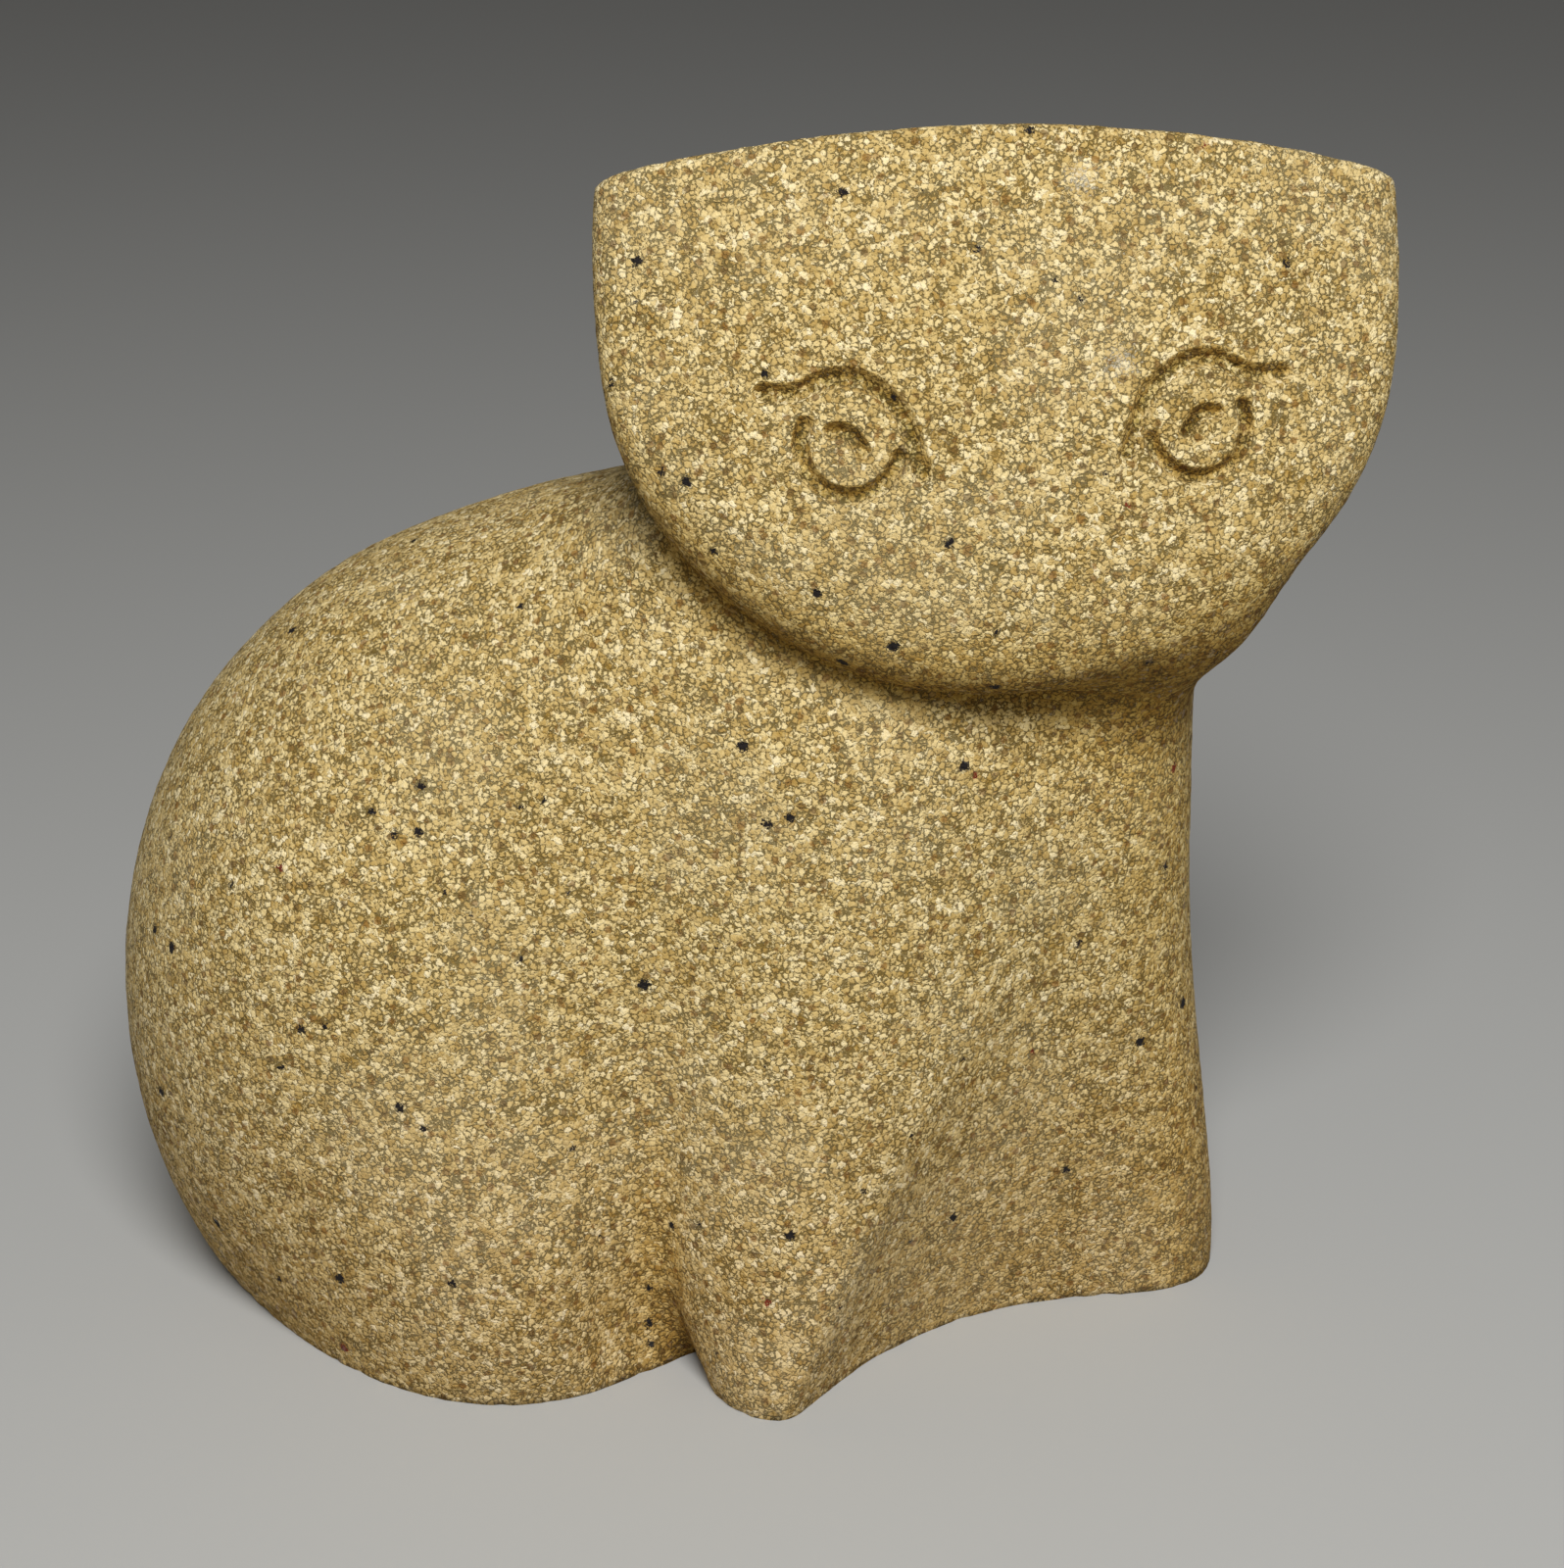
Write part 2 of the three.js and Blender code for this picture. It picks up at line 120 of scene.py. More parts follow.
# Width of the soft joins between neighbouring forms, and where they change
WITHERS_BLEND = 24.0
HIND_FOOT_BLEND = 16.0
HOLLOW_BLEND = 7.0
CHEST_BLEND = 22.0
LEG_BACK_BLEND = 16.0
RIDGE_BLEND = 1.2
HAUNCH_CREASE = 2.4
FLANK_BLEND = {"foot": 14.0, "top": 4.0}
FLANK_BLEND_UP = (-10.0, 70.0)
FLANK_BLEND_END_X = 12.0
CHIN_CREASE = 2.5
NECK_BLEND = 20.0
NECK_ACROSS = (22.0, 60.0)
NECK_UP = (84.0, 114.0)
NAPE_BLEND = 14.0
NAPE_BACK = (36.0, 52.0)

# Eyes, in the plane of the face, measured from the middle of the head
EYE_MIDDLE = 1.9
EYE_SPACING = 37.0
EYE_DROP = 19.8
EYE_LINE_RISE = 1.8
EYE_RADIUS = 5.3
EYE_REACH = 3.0
RING_DEGREES = (155, 345)
RING_WIDTH = 2.0
LID_WIDTH = 2.4
PUPIL_WIDTH = 2.0
GROOVE_DEPTH = 1.2

# Two small spots of pale powder on the face: across it, up it and radius
POWDER_SPOTS = ((8.0, 7.0, 3.0), (12.0, -12.4, 2.8))

# Fineness of the mesh and the room that it fills
CELL = 1.12
GROOVE_CELL = 0.42
GROOVE_MARGIN = 0.8
ROOT_DEPTH = 4.0
ROOM_LOW = (-86.0, -4.0, -ROOT_DEPTH)
ROOM_HIGH = (74.0, 94.0, 150.0)

# Cast skin: depth, width and offset of its slow waves, its lumps and its single grains
SKIN_BUMPS = ((0.14, 19.0, (0, 0, 0)), (0.05, 5.2, (31, 7, 3)), (0.09, 1.3, (5, 17, 41)))
SKIN_INSET = 0.12
CRUMB_DEPTH = 0.6
CRUMB_WIDTH = 2.6
CRUMB_OFFSET = (11, 2, 9)
CRUMB_START = 0.12
CRUMB_HEIGHT = 2.2

# Tones of the sand grains, from the palest to the darkest
GRAIN_TONES = [
    (0.05, (0.98, 0.84, 0.53)),
    (0.25, (0.84, 0.665, 0.32)),
    (0.50, (0.69, 0.505, 0.20)),
    (0.75, (0.54, 0.37, 0.12)),
    (0.95, (0.38, 0.225, 0.05)),
]
GRAIN_SCALE = 1.5

# Colours that lie on the grains, with painted shade in the gaps and pits between them
GAP_SHADE_BROWN = (0.17, 0.11, 0.02)
GAP_SHADE_OLIVE = (0.145, 0.11, 0.035)
STAIN_OCHRE = (0.42, 0.245, 0.04)
IRON_RUST = (0.30, 0.14, 0.02)
IRON_BROWN = (0.17, 0.10, 0.025)
PIT_SHADE_BROWN = (0.15, 0.10, 0.03)
PALE_SAND = (0.66, 0.53, 0.29)
POWDER_WHITE = (0.88, 0.81, 0.63)
SPECK_BLACK = (0.016, 0.012, 0.011)
SPECK_RED = (0.20, 0.03, 0.01)

# Tints that darken the stone under them: painted shade in creases and on undersides, partly with olive
# dirt, in the engraved lines, and towards the foot
SHADE_TINT = (0.97, 0.90, 0.70)
CREASE_SHADE_AND_DIRT_TINT = (0.52, 0.43, 0.20)
GROOVE_SHADE_AND_DIRT_TINT = (0.41, 0.38, 0.17)
FOOT_SHADE_TINT = (0.86, 0.79, 0.80)

# Stage, light and room in metres, and the camera's place in the millimetres of the form
FLOOR_SIZE = 12
FLOOR_GREY = (0.44, 0.44, 0.425)
KEY_PLACE = (0.05, -0.55, 0.65)
KEY_AIM = (0, 0, 0.06)
KEY_SIZE = 0.36
KEY_POWER = 7.4
ROOM_COLOUR = (1.0, 0.98, 0.95)
ROOM_STRENGTH = 0.12
CAMERA_PLACE = np.array([0, -297.4, 200])
CAMERA_PITCH = 22
SENSOR_WIDTH = 36
FOCAL_PIXELS = 3080
PHOTO_HEIGHT_PIXELS = 1600

OUT_OF_FACE = np.array([
    math.sin(HEAD_TURN) * math.cos(HEAD_TILT),
    -math.cos(HEAD_TURN) * math.cos(HEAD_TILT),
    math.sin(HEAD_TILT),
])
ACROSS_FACE = np.array([math.cos(HEAD_TURN), math.sin(HEAD_TURN), 0.0])
UP_FACE = np.cross(OUT_OF_FACE, ACROSS_FACE)


def soft_min(a, b, width):
    h = np.maximum(width - np.abs(a - b), 0) / width
    return np.minimum(a, b) - h * h * width / 4


def soft_max(a, b, width):
    return -soft_min(-a, -b, width)


def ease(value, start, end):
    s = np.clip((value - start) / (end - start), 0, 1)
    return s * s * (3 - 2 * s)


def mix(a, b, share):
    return a + (b - a) * share


def length(vectors):
    return np.sqrt((vectors * vectors).sum(-1))


def taper(point, a, b, radius_a, radius_b):
    """Distance to two balls and the taper that joins them."""
    axis = b - a
    span = np.linalg.norm(axis)
    axis = axis / span
    offset = point - a
    along = offset @ axis
    across = np.sqrt(np.maximum((offset * offset).sum(-1) - along * along, 0))
    lean = (radius_a - radius_b) / span
    rise = math.sqrt(1 - lean * lean)
    foot = along * rise - across * lean
    side = across * rise + along * lean - radius_a
    side = np.where(foot < 0, length(offset) - radius_a, side)
    return np.where(foot > span * rise, length(point - b) - radius_b, side)


def egg(point, centre, radii):
    q = (point - centre) / radii
    size = length(q)
    return size * (size - 1) / np.maximum(length(q / radii), 1e-6)


def flat_curve(shares, steps=10):
    """Smooth line through points given in shares of the eye's radius."""
    points = np.array(shares) * EYE_RADIUS
    padded = np.vstack([points[:1], points, points[-1:]])
    line = []
    for p0, p1, p2, p3 in zip(padded, padded[1:], padded[2:], padded[3:]):
        for t in np.arange(steps) / steps:
            pull = (2 * p0 - 5 * p1 + 4 * p2 - p3) * t * t + (3 * p1 - p0 - 3 * p2 + p3) * t ** 3
            line.append((2 * p1 + (p2 - p0) * t + pull) / 2)
    return np.array(line + [points[-1]])


def arc(start, end, steps=26):
    angle = np.radians(np.linspace(180 - start, 180 - end, steps))
    return EYE_RADIUS * np.stack([np.cos(angle), np.sin(angle)], 1)


LID_LINE = flat_curve([
    [1.74, 1.08], [1.09, 1.06], [0.42, 1.32], [-0.26, 1.26], [-0.94, 0.74], [-1.23, 0.11], [-1.43, -0.58],
])
PUPIL_LINE = flat_curve([[0.38, 0.28], [0.04, 0.25], [-0.23, -0.11]])
EYE_GROOVES = [(arc(*RING_DEGREES), RING_WIDTH), (LID_LINE, LID_WIDTH), (PUPIL_LINE, PUPIL_WIDTH)]


def distance_to_line(line, point):
    nearest = np.full(len(point), np.inf)
    for start, end in zip(line, line[1:]):
        step = end - start
        offset = point - start
        share = np.clip(offset @ step / (step @ step), 0, 1)
        nearest = np.minimum(nearest, length(offset - share[:, None] * step))
    return nearest


def nearest_groove(u, v):
    """How far past the nearest engraved line's edge each place is, and its share of the half width."""
    past = np.full(u.shape, np.inf)
    share = np.full(u.shape, np.inf)
    for side in (-1, 1):
        out = side * (u - EYE_MIDDLE) - EYE_SPACING / 2
        up = v + EYE_DROP - side * EYE_LINE_RISE / 2
        near = np.hypot(out, up) < EYE_REACH * EYE_RADIUS
        if not near.any():
            continue
        place = np.stack([out[near], up[near]], -1)
        best_past = past[near]
        best_share = share[near]
        for line, width in EYE_GROOVES:
            distance = distance_to_line(line, place)
            closer = distance - width / 2 < best_past
            best_past = np.where(closer, distance - width / 2, best_past)
            best_share = np.where(closer, distance / (width / 2), best_share)
        past[near] = best_past
        share[near] = best_share
    return past, share


def on_head(point):
    """Place on the head: across the face, up it and out of it."""
    offset = point - HEAD_CENTRE
    return offset @ ACROSS_FACE, offset @ UP_FACE, offset @ OUT_OF_FACE


def head(point):
    u, v, w = on_head(point)
    n = HEAD_SQUARENESS
    outline = (np.abs(u) ** n + np.abs(v * HEAD_HALF_WIDTH / HEAD_SIDE_DROP) ** n) ** (1 / n)
    _, share = nearest_groove(u, v)
    groove = GROOVE_DEPTH * np.maximum(1 - share * share, 0) ** 1.5
    face = np.sqrt(u * u + v * v + (w + FACE_RADIUS - FACE_DEPTH) ** 2) - FACE_RADIUS + groove
    nape = np.sqrt(u * u + v * v + (w - NAPE_RADIUS + NAPE_DEPTH) ** 2) - NAPE_RADIUS
    crown = np.hypot(u, v + CROWN_RADIUS - CROWN_HEIGHT) - CROWN_RADIUS
    edge = mix(FACE_EDGE, CHIN_EDGE, ease(-v, *CHIN_EDGE_DOWN))
    shield = soft_max(soft_max(outline - HEAD_HALF_WIDTH, face, edge), nape, NAPE_EDGE)
    return soft_max(shield, crown, CROWN_EDGE)


def torso(point):
    scale = np.array([1, 1 / TORSO_SLIMNESS, 1 / TORSO_TALLNESS])
    back = taper(point * scale, HAUNCH * scale, SHOULDER * scale, HAUNCH_RADIUS, SHOULDER_RADIUS)
    back = soft_min(back * TORSO_SLIMNESS, length(point - WITHERS) - WITHERS_RADIUS, WITHERS_BLEND)
    haunch = soft_min(back, egg(point, HIND_FOOT, HIND_FOOT_RADII), HIND_FOOT_BLEND)
    return soft_max(haunch, -taper(point, HOLLOW_FOOT, HOLLOW_TOP, *HOLLOW_RADII), HOLLOW_BLEND)


def chest(point):
    x, y, z = point[..., 0], point[..., 1], point[..., 2]
    right = mix(CHEST_RIGHT["foot"], CHEST_RIGHT["waist"], ease(z, 0, CHEST_WAIST_HEIGHT))
    right = right + (CHEST_RIGHT["neck"] - CHEST_RIGHT["waist"]) * ease(z, 0, CHEST_TOP_HEIGHT)
    front = soft_max(CHEST_FRONT["foot"] - WALL_LEAN * z, CHEST_FRONT["top"], WALL_EDGE)
    n = mix(CHEST_SQUARENESS["foot"], CHEST_SQUARENESS["top"], ease(z, 0, CHEST_ROUND_HEIGHT))
    half_width = right - CHEST_MIDDLE_X
    half_depth = (CHEST_BACK_Y - front) / 2
    a = np.abs(x - CHEST_MIDDLE_X) / half_width
    b = np.abs(y - (CHEST_BACK_Y + front) / 2) / half_depth
    wall = ((a ** n + b ** n) ** (1 / n) - 1) * np.minimum(half_width, half_depth)
    cut = (z + NAPE_CUT_SLOPE * (y - NAPE_CUT_Y) - NAPE_CUT_HEIGHT) / math.hypot(1, NAPE_CUT_SLOPE)
    return soft_max(wall, cut, NAPE_CUT_BLEND)


def near_leg(point):
    """The leg runs on to the right of its ridge, so that the flank alone shapes its inner side."""
    normal = np.cross([math.sin(FLANK_TURN), math.cos(FLANK_TURN), 0], RIDGE_TOP - RIDGE_FOOT)
    flank = (point - RIDGE_FOOT) @ (normal / np.linalg.norm(normal))
    up = (point[..., 2] - RIDGE_FOOT[2]) / (RIDGE_TOP[2] - RIDGE_FOOT[2])
    left = point.copy()
    rest = LEG_BACK_RUN * ease(point[..., 2], *RIDGE_FADE_UP)
    left[..., 0] = np.minimum(point[..., 0], mix(RIDGE_FOOT[0], RIDGE_TOP[0], up) + rest)
    leg = taper(left, PAW, NEAR_CHEST, PAW_RADIUS, NEAR_CHEST_RADIUS)
    return soft_max(soft_max(leg, point[..., 1] - NEAR_LEG_BACK, LEG_BACK_BLEND), flank, RIDGE_BLEND)


def cat(point):
    """Distance to the whole cast, which runs on below the ground."""
    x, y, z = point[..., 0], point[..., 1], point[..., 2]
    body = soft_min(torso(point), chest(point), CHEST_BLEND)
    flank = mix(FLANK_BLEND["foot"], FLANK_BLEND["top"], ease(z, *FLANK_BLEND_UP))
    crease = mix(HAUNCH_CREASE, flank, np.clip(x / FLANK_BLEND_END_X, 0, 1))
    body = soft_min(body, near_leg(point), crease)
    neck = ease(x, *NECK_ACROSS) * (1 - ease(z, *NECK_UP))
    join = mix(mix(CHIN_CREASE, NECK_BLEND, neck), NAPE_BLEND, ease(y, *NAPE_BACK))
    return soft_min(body, head(point), join)


def gradient(form, point, step=0.05):
    moves = np.eye(3) * step
    return np.stack([(form(point + m) - form(point - m)) / (2 * step) for m in moves], -1)


def pull_to_surface(form, point, rounds=3):
    for _ in range(rounds):
        slope = gradient(form, point)
        steep = np.maximum((slope * slope).sum(-1), 0.05)
        point = point - slope * np.clip(form(point) / steep, -1, 1)[:, None]
    return point


def surface_net(form, low, high, cell):
    """Net of cells through which the surface passes: one vertex in each, a quad for each crossed edge."""
    axes = [np.arange(a, b + cell, cell) for a, b in zip(low, high)]
    counts = [len(axis) for axis in axes]
    value = np.empty(counts)
    for i, x in enumerate(axes[0]):
        y, z = np.meshgrid(axes[1], axes[2], indexing="ij")
        value[i] = form(np.stack([np.full(y.shape, x), y, z], -1))
    total = np.zeros(counts + [3])
    hits = np.zeros(counts)
    quads = []
    for axis in range(3):
        ahead = [slice(None)] * 3
        ahead[axis] = slice(1, None)
        behind = [slice(None)] * 3
        behind[axis] = slice(0, -1)
        start, end = value[tuple(behind)], value[tuple(ahead)]
        spot = np.argwhere((start < 0) != (end < 0))
        spot = spot[(np.delete(spot, axis, 1) > 0).all(1)]
        a, b = start[tuple(spot.T)], end[tuple(spot.T)]
        crossing = spot.astype(float)
        crossing[:, axis] += a / (a - b)
        p, q = np.eye(3, dtype=int)[[(axis + 1) % 3, (axis + 2) % 3]]
        cells = [spot - m * p - n * q for m, n in ((0, 0), (1, 0), (1, 1), (0, 1))]
        for one in cells:
            np.add.at(total, tuple(one.T), crossing)
            np.add.at(hits, tuple(one.T), 1)
        quad = np.stack([np.ravel_multi_index(tuple(one.T), counts) for one in cells], 1)
        quads.append(np.where((a < 0)[:, None], quad, quad[:, ::-1]))
    used = np.flatnonzero(hits.ravel())
    number = np.full(hits.size, -1)
    number[used] = np.arange(len(used))
    vertices = total.reshape(-1, 3)[used] / hits.ravel()[used][:, None] * cell + np.array(low)
    return vertices, number[np.vstack(quads)]


def relax(form, vertices, faces, share=0.6):
    """Each vertex moves towards the middle of its neighbours and back on to the surface."""
    total = np.zeros_like(vertices)
    count = np.zeros(len(vertices))
    for a, b in zip(faces.T, np.roll(faces, -1, 1).T):
        np.add.at(total, a, vertices[b])
        np.add.at(count, a, 1)
    return pull_to_surface(form, mix(vertices, total / count[:, None], share))


def split_quads(vertices, quads):
    """Two triangles for each quad, cut along its shorter diagonal."""
    a, b, c, d = quads.T
    first = length(vertices[a] - vertices[c]) < length(vertices[b] - vertices[d])
    one = np.where(first[:, None], np.stack([a, b, c], 1), np.stack([a, b, d], 1))
    two = np.where(first[:, None], np.stack([a, c, d], 1), np.stack([b, c, d], 1))
    return np.vstack([one, two])


def refine(form, vertices, triangles, wanted):
    """Halves the wanted edges, with the new vertices on the surface."""
    pairs = np.sort(triangles[:, [[0, 1], [1, 2], [2, 0]]].reshape(-1, 2), axis=1)
    edges, which = np.unique(pairs, axis=0, return_inverse=True)
    ends = vertices[edges]
    split = wanted(ends.mean(1), length(ends[:, 1] - ends[:, 0]))
    number = np.full(len(edges), -1)
    number[split] = len(vertices) + np.arange(split.sum())
    vertices = np.vstack([vertices, pull_to_surface(form, ends[split].mean(1))])
    middles = number[which.reshape(-1)].reshape(-1, 3)
    count = (middles >= 0).sum(1)
    finer = [triangles[count == 0]]
    for turn in range(3):
        a, b, c = np.roll(triangles, -turn, 1).T
        ab, bc, ca = np.roll(middles, -turn, 1).T
        one = (count == 1) & (ab >= 0)
        finer.append(np.stack([a, ab, c], 1)[one])
        finer.append(np.stack([ab, b, c], 1)[one])
        two = (count == 2) & (ca < 0)
        finer.append(np.stack([ab, b, bc], 1)[two])
        finer.append(split_quads(vertices, np.stack([a, ab, bc, c], 1)[two]))
    a, b, c = triangles[count == 3].T
    ab, bc, ca = middles[count == 3].T
    for corners in ((a, ab, ca), (ab, b, bc), (bc, c, ca), (ab, bc, ca)):
        finer.append(np.stack(corners, 1))
    return vertices, np.vstack(finer)


def near_groove(middle, size):
    """True for the edges that are too long for the engraved lines beside them."""
    u, v, w = on_head(middle)
    past, _ = nearest_groove(u, v)
    return (w > 0) & (size > GROOVE_CELL) & (past < np.maximum(size / 2, GROOVE_MARGIN))


def hollowness(form, point, normal):
    """How much the surface closes in round each vertex, from 0 in the open to about 1 in a crease."""
    closed = np.zeros(len(point))
    for reach, share in ((1.2, 0.25), (3.0, 0.3), (7.0, 0.25), (14.0, 0.2)):
        closed += share * np.clip(1 - form(point + normal * reach) / reach, 0, 1)
    return closed


def cast_skin(point, normal):
    """Vertices moved in or out by slow waves, grains and a worn, crumbled foot."""
    skin = np.empty(len(point))
    for i, p in enumerate(point):
        place = Vector(p)
        bumps = sum(depth * noise.noise(place / wide + Vector(away)) for depth, wide, away in SKIN_BUMPS)
        crumbs = max(noise.noise(place / CRUMB_WIDTH + Vector(CRUMB_OFFSET)) - CRUMB_START, 0)
        foot = max(1 - place.z / CRUMB_HEIGHT, 0)
        skin[i] = bumps - SKIN_INSET - CRUMB_DEPTH * crumbs * foot
    return point + normal * skin[:, None]


def fine_net():
    """Vertices on the surface of the whole form, their outward directions and the triangles."""
    vertices, quads = surface_net(cat, ROOM_LOW, ROOM_HIGH, CELL)
    inner = vertices[:, 2] > -ROOT_DEPTH + 1.5 * CELL
    vertices = np.where(inner[:, None], relax(cat, vertices, quads), vertices)
    triangles = split_quads(vertices, quads)
    for _ in range(2):
        vertices, triangles = refine(cat, vertices, triangles, near_groove)
    slope = gradient(cat, vertices)
    return vertices, slope / np.maximum(length(slope), 1e-6)[:, None], triangles


def surface_marks(vertices, normal):
    """What the finish needs to know of each vertex: painted shade and dirt in hollows and on undersides,
    engraved lines and powder.
    """
    facing_up = ease(normal[:, 2], -0.05, 0.35)
    # Painted shade, partly olive dirt: strongest in creases and on surfaces that face down, weaker where
    # the surface faces up
    shade_and_dirt = hollowness(cat, vertices, normal) * (1 - 0.8 * facing_up) + 0.5 * np.clip(-normal[:, 2], 0, 1)
    u, v, w = on_head(vertices)
    _, share = nearest_groove(u, v)
    engraved = np.where(w > 0, np.maximum(1 - share * share, 0), 0)
    powder = np.zeros(len(vertices))
    for across, up, radius in POWDER_SPOTS:
        powder = np.maximum(powder, np.where(w > 0, 1 - np.hypot(u - across, v - up) / radius, 0))
    return {"shade_and_dirt": shade_and_dirt, "engraved": engraved, "powder": powder}


def stone_mesh():
    """The whole cast as one closed mesh in millimetres, cut flat at the ground."""
    vertices, normal, triangles = fine_net()
    mesh = bpy.data.meshes.new("sandstone_cat")
    mesh.from_pydata(cast_skin(vertices, normal).tolist(), [], triangles.tolist())
    for name, value in surface_marks(vertices, normal).items():
        mesh.attributes.new(name, "FLOAT", "POINT").data.foreach_set("value", value)
    solid = bmesh.new()
    solid.from_mesh(mesh)
    parts = solid.verts[:] + solid.edges[:] + solid.faces[:]
    bmesh.ops.bisect_plane(solid, geom=parts, plane_co=(0, 0, 0), plane_no=(0, 0, 1), clear_inner=True)
    rim = [edge for edge in solid.edges if edge.is_boundary]
    bmesh.ops.triangle_fill(solid, edges=rim, use_beauty=True, normal=(0, 0, -1))
    solid.to_mesh(mesh)
    solid.free()
    return mesh


def settle(mesh):
    """Moves the mesh to the middle of the frame, in metres, and gives the move in millimetres."""
    spots = np.empty(len(mesh.vertices) * 3)
    mesh.vertices.foreach_get("co", spots)
    spots = spots.reshape(-1, 3)
    move = (spots.min(0) + spots.max(0)) / 2
    move[2] = 0
    spots = np.clip((spots - move) / 1000, np.array(cad_low), np.array(cad_high))
    mesh.vertices.foreach_set("co", spots.ravel())
    mesh.shade_smooth()
    mesh.update()
    return move


stone = stone_mesh()
shift = settle(stone)


class Finish:
    """A procedural material, with short ways to add and link its nodes."""

    def __init__(self, name):
        self.material = bpy.data.materials.new(name)
        self.material.use_nodes = True
        self.tree = self.material.node_tree
        self.tree.nodes.clear()

    def add(self, kind, settings=None, **inputs):
        node = self.tree.nodes.new(kind)
        for key, value in (settings or {}).items():
            setattr(node, key, value)
        for key, value in inputs.items():
            socket = node.inputs[int(key[1:])] if key[0] == "i" and key[1:].isdigit() else node.inputs[key]
            if isinstance(value, bpy.types.NodeSocket):
                self.tree.links.new(value, socket)
            else:
                socket.default_value = value
        return node

    def maths(self, operation, a, b):
        return self.add("ShaderNodeMath", {"operation": operation}, i0=a, i1=b).outputs[0]

    def plus(self, a, b):
        return self.maths("ADD", a, b)

    def minus(self, a, b):
        return self.maths("SUBTRACT", a, b)

    def times(self, a, b):
        return self.maths("MULTIPLY", a, b)

    def vector(self, operation, a, **inputs):
        return self.add("ShaderNodeVectorMath", {"operation": operation}, i0=a, **inputs).outputs[0]

    def channels(self, colour):
        return self.add("ShaderNodeSeparateColor", Color=colour).outputs

    def span(self, value, a, b, c=0.0, d=1.0):
        """Smooth step of a value, from c where it is a to d where it is b."""
        settings = {"interpolation_type": "SMOOTHSTEP"}
        return self.add("ShaderNodeMapRange", settings, i0=value, i1=a, i2=b, i3=c, i4=d).outputs[0]

    def blend(self, share, under, over, kind="MIX"):
        """A colour laid over another by a share."""
        under, over = [(*c, 1) if isinstance(c, tuple) else c for c in (under, over)]
        settings = {"data_type": "RGBA", "blend_type": kind}
        return self.add("ShaderNodeMix", settings, i0=share, i6=under, i7=over).outputs[2]

    def tint(self, share, colour, shade):
        return self.blend(share, colour, shade, "MULTIPLY")

    def ramp(self, value, stops):
        node = self.add("ShaderNodeValToRGB", Fac=value)
        band = node.color_ramp
        band.elements[0].position, band.elements[0].color = stops[0][0], (*stops[0][1], 1)
        band.elements[1].position, band.elements[1].color = stops[-1][0], (*stops[-1][1], 1)
        for position, colour in stops[1:-1]:
            band.elements.new(position).color = (*colour, 1)
        return node.outputs[0]

    def close(self, skin):
        self.add("ShaderNodeOutputMaterial", Surface=skin.outputs[0])
        return self.material


class Sandstone(Finish):
    """The stone's nodes, with the patterns that several of its layers share."""

    def __init__(self):
        super().__init__("sandstone")
        spot = self.add("ShaderNodeTexCoord").outputs["Object"]
        self.millimetres = self.vector("SCALE", spot, Scale=1000.0)
        self.bent = self.millimetres
        for scale, reach in ((1.1, 0.55), (3.3, 0.4)):
            sway = self.vector("SUBTRACT", self.cloud(scale).outputs["Color"], i1=(0.5,) * 3)
            sway = self.vector("SCALE", sway, Scale=reach)
            self.bent = self.vector("ADD", self.bent, i1=sway)
        self.tone = self.channels(self.cells(GRAIN_SCALE).outputs["Color"])
        self.edge = self.cells(GRAIN_SCALE, "DISTANCE_TO_EDGE").outputs["Distance"]
        self.grit = self.cloud(2.8, 3.0, 0.7).outputs[0]
        self.clump = self.cloud(0.5, 3.0, 0.65).outputs[0]
        self.cast = self.cloud(0.05, 3.0, 0.55).outputs[0]

    def cloud(self, scale, detail=2.0, rough=0.5, place=None):
        inputs = {"Vector": place or self.millimetres, "Scale": scale, "Detail": detail, "Roughness": rough}
        return self.add("ShaderNodeTexNoise", **inputs)

    def cells(self, scale, feature="F1"):
        return self.add("ShaderNodeTexVoronoi", {"feature": feature}, Vector=self.bent, Scale=scale)

    def ragged(self, value, amount):
        """A value roughened by the grit."""
        return self.plus(value, self.times(self.minus(self.grit, 0.5), amount))

    def mark(self, name):
        return self.add("ShaderNodeAttribute", {"attribute_name": name}).outputs["Fac"]


def packed_grains(rock):
    """Packed pale sand grains, each with its own tone."""
    share = rock.plus(rock.times(rock.tone[0], 0.7), rock.times(rock.grit, 0.5))
    share = rock.plus(share, rock.times(rock.clump, 0.5))
    return rock.ramp(rock.minus(share, 0.35), GRAIN_TONES)


def grain_gaps(rock):
    """Irregular gaps between the grains, wider in some patches."""
    opening = rock.plus(rock.times(rock.clump, 0.6), rock.times(rock.grit, 0.9))
    return rock.span(rock.minus(rock.edge, opening), -0.76, -0.66, 1.0, 0.0)


def iron_stains(rock, colour):
    """Soft ochre patches, and small rusty and brown grains."""
    stain = rock.span(rock.cloud(0.62, 4.0, 0.62).outputs[0], 0.57, 0.68)
    colour = rock.blend(rock.times(stain, 0.6), colour, STAIN_OCHRE)
    iron = rock.cells(0.74)
    tone = rock.channels(iron.outputs["Color"])
    edge = rock.ragged(iron.outputs["Distance"], 0.6)
    chosen = rock.times(rock.span(edge, 0.36, 0.29), rock.span(tone[0], 0.67, 0.70))
    return rock.blend(rock.times(chosen, 0.8), colour, rock.blend(tone[1], IRON_RUST, IRON_BROWN))


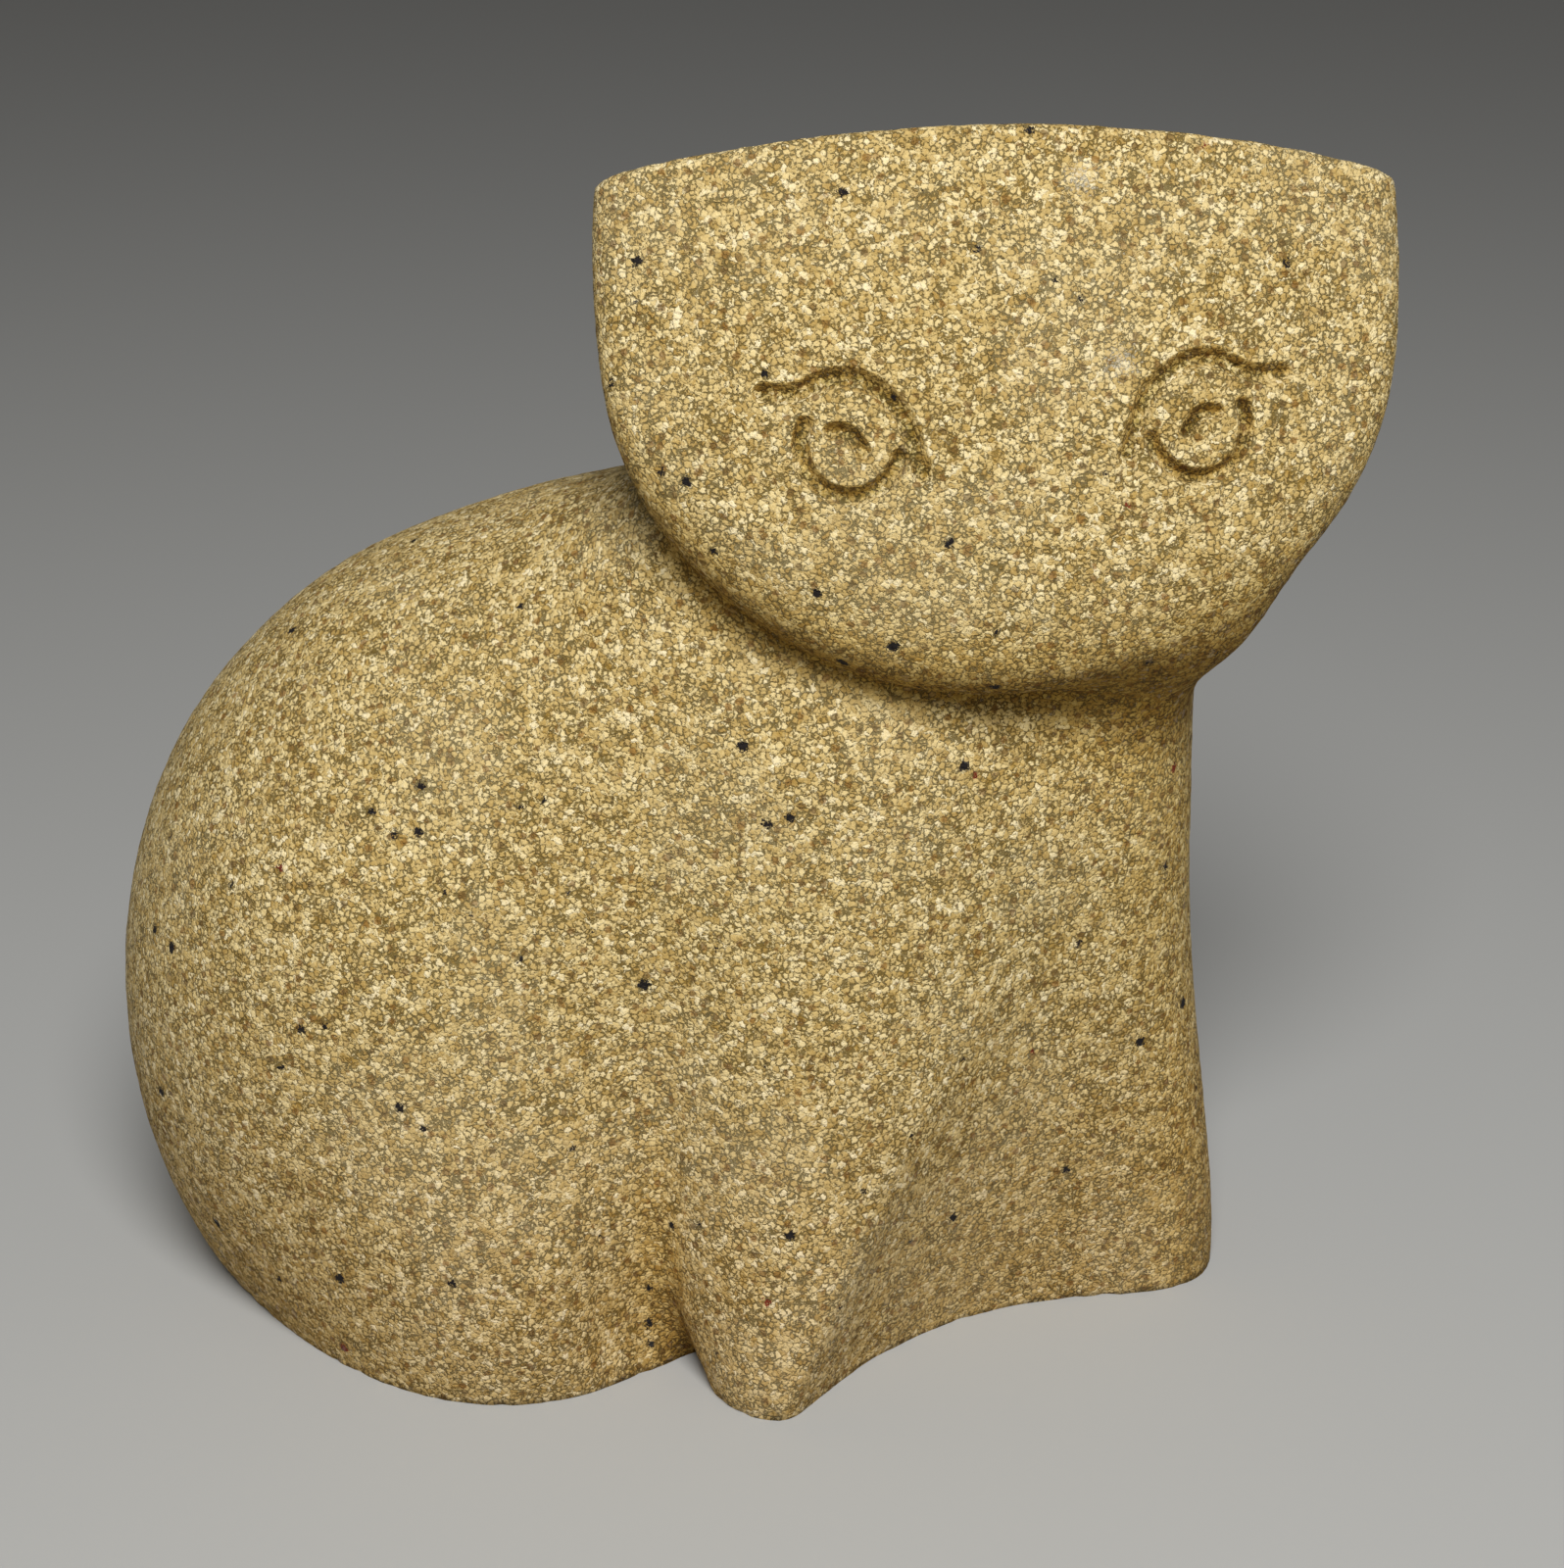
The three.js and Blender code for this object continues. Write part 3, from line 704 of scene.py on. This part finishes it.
def weathering_and_shade(rock, colour):
    """Paler patches, painted shade with olive dirt in the hollows, on undersides and in the engraved lines,
    and painted shade that darkens and pinks the foot.
    """
    colour = rock.blend(rock.times(rock.span(rock.cast, 0.46, 0.66), 0.14), colour, PALE_SAND)
    shade_and_dirt = rock.mark("shade_and_dirt")
    # Painted shade in creases and on undersides, then a deeper olive shade with dirt in the deepest of them
    colour = rock.tint(rock.span(shade_and_dirt, 0.04, 0.35), colour, SHADE_TINT)
    colour = rock.tint(rock.span(shade_and_dirt, 0.22, 0.8), colour, CREASE_SHADE_AND_DIRT_TINT)
    # Painted shade with olive dirt along the engraved lines, broken up by the grit
    patchy = rock.plus(rock.times(rock.clump, 1.4), rock.times(rock.grit, 1.7))
    groove_shade_and_dirt = rock.plus(rock.mark("engraved"), rock.minus(patchy, 1.55))
    colour = rock.tint(rock.span(groove_shade_and_dirt, 0.45, 1.25, 0.0, 0.9), colour, GROOVE_SHADE_AND_DIRT_TINT)
    # Painted shade: darker and a little pinker towards the bottom
    height = rock.add("ShaderNodeSeparateXYZ", Vector=rock.millimetres).outputs[2]
    return rock.tint(rock.span(height, 62.0, 4.0, 0.0, 0.6), colour, FOOT_SHADE_TINT)


def pale_powder(rock, colour):
    """Powder on single grains all over, and most in the two spots on the face."""
    powder = rock.ragged(rock.mark("powder"), 3.2)
    return rock.blend(rock.span(powder, 0.4, 1.0, 0.0, 0.5), colour, POWDER_WHITE)


def specks(rock, colour):
    """Scattered black specks and a few dark red grains, with ragged edges."""
    speck = rock.cells(0.36)
    tone = rock.channels(speck.outputs["Color"])
    edge = rock.plus(rock.ragged(speck.outputs["Distance"], 0.75), rock.times(tone[2], 0.18))
    near = rock.span(edge, 0.27, 0.24)
    colour = rock.blend(rock.times(near, rock.span(tone[0], 0.905, 0.91)), colour, SPECK_BLACK)
    return rock.blend(rock.times(near, rock.span(tone[1], 0.990, 0.992)), colour, SPECK_RED)


def relief(rock, gap, pore):
    """Rounded grains with gaps and pits between them."""
    height = rock.plus(rock.times(rock.span(rock.edge, 0.0, 0.30), 0.5), rock.times(rock.tone[1], 0.4))
    height = rock.minus(height, rock.times(gap, 0.6))
    height = rock.plus(height, rock.times(rock.cloud(4.5, 3.0, 0.75).outputs[0], 0.7))
    height = rock.minus(height, rock.times(pore, 0.6))
    return rock.add("ShaderNodeBump", Strength=0.9, Distance=0.0003, Height=height).outputs[0]


def sandstone_material():
    rock = Sandstone()
    gap = grain_gaps(rock)
    # Painted shade in the gaps between the grains, brown in some patches and olive in others
    gap_shade_tone = rock.blend(rock.span(rock.cast, 0.40, 0.60), GAP_SHADE_BROWN, GAP_SHADE_OLIVE)
    colour = rock.blend(rock.times(gap, 0.88), packed_grains(rock), gap_shade_tone)
    colour = iron_stains(rock, colour)
    pore = rock.span(rock.cloud(1.5, 3.0, 0.6, rock.bent).outputs[0], 0.655, 0.71)
    # Painted shade in the small pits
    colour = rock.blend(rock.times(pore, 0.7), colour, PIT_SHADE_BROWN)
    colour = pale_powder(rock, weathering_and_shade(rock, colour))
    glint = rock.span(rock.tone[2], 0.90, 0.93)
    skin = rock.add(
        "ShaderNodeBsdfPrincipled",
        **{
            "Base Color": specks(rock, colour),
            "Roughness": rock.minus(0.92, rock.times(glint, 0.45)),
            "Specular IOR Level": rock.plus(0.25, rock.times(glint, 0.35)),
            "Normal": relief(rock, gap, pore),
        },
    )
    return rock.close(skin)


def floor_material():
    paper = Finish("pale_floor")
    skin = paper.add("ShaderNodeBsdfPrincipled", **{"Base Color": (*FLOOR_GREY, 1), "Roughness": 0.9})
    return paper.close(skin)


stone.materials.append(sandstone_material())
cat_body = bpy.data.objects.new("sandstone_cat", stone)
bpy.context.scene.collection.objects.link(cat_body)
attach(cat_body, "root")
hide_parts("cat_figurine")


def stage():
    bpy.ops.mesh.primitive_plane_add(size=FLOOR_SIZE, location=(0, 0, 0))
    floor = bpy.context.object
    floor.name = "floor"
    floor.data.materials.append(floor_material())


def key_light():
    data = bpy.data.lights.new("key_light", "AREA")
    data.shape = "DISK"
    data.size = KEY_SIZE
    data.energy = KEY_POWER
    lamp = bpy.data.objects.new("key_light", data)
    bpy.context.scene.collection.objects.link(lamp)
    lamp.location = KEY_PLACE
    lamp.rotation_euler = (Vector(KEY_AIM) - Vector(KEY_PLACE)).to_track_quat("-Z", "Y").to_euler()


def soft_room():
    world = bpy.data.worlds.new("soft_room")
    world.use_nodes = True
    sky = world.node_tree.nodes["Background"]
    sky.inputs["Color"].default_value = (*ROOM_COLOUR, 1)
    sky.inputs["Strength"].default_value = ROOM_STRENGTH
    bpy.context.scene.world = world
    bpy.context.scene.view_settings.view_transform = "Standard"


def camera():
    data = bpy.data.cameras.new("photo_camera")
    data.sensor_width = SENSOR_WIDTH
    data.lens = SENSOR_WIDTH * FOCAL_PIXELS / PHOTO_HEIGHT_PIXELS
    data.clip_start = 0.01
    eye = bpy.data.objects.new("photo_camera", data)
    bpy.context.scene.collection.objects.link(eye)
    eye.location = (CAMERA_PLACE - shift) / 1000
    eye.rotation_euler = (math.radians(90 - CAMERA_PITCH), 0, 0)
    bpy.context.scene.camera = eye


stage()
key_light()
soft_room()
camera()
